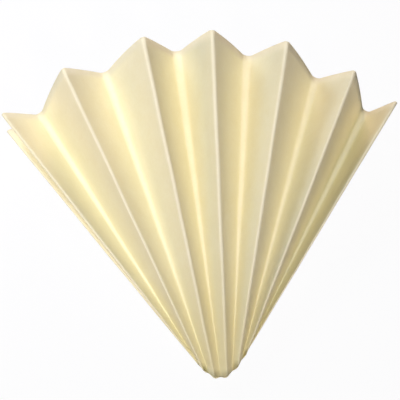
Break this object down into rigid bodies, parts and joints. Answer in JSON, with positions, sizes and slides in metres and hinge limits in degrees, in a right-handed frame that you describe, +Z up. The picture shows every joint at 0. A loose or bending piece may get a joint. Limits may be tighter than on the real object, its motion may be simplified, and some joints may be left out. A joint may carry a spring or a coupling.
{
  "type": "pleated paper filter",
  "caption": "Round sheet of filter paper, folded in half and pleated into a fan that is partly spread and lies flat with its blunt tip in front.",
  "frame": {"origin": "middle of the bounding box's bottom face, on the floor the folded sheet lies on", "axes": "+Z up, -Y towards the blunt tip, +Y towards the open pleated mouth, +X to the right as seen from the tip"},
  "size_m": [0.1392, 0.1196, 0.0455],
  "materials": {
    "paper": "matt uncoated filter paper, warm cream"
  },
  "bodies": {
    "root": {"pleated_filter": "paper"}
  },
  "joints": []
}
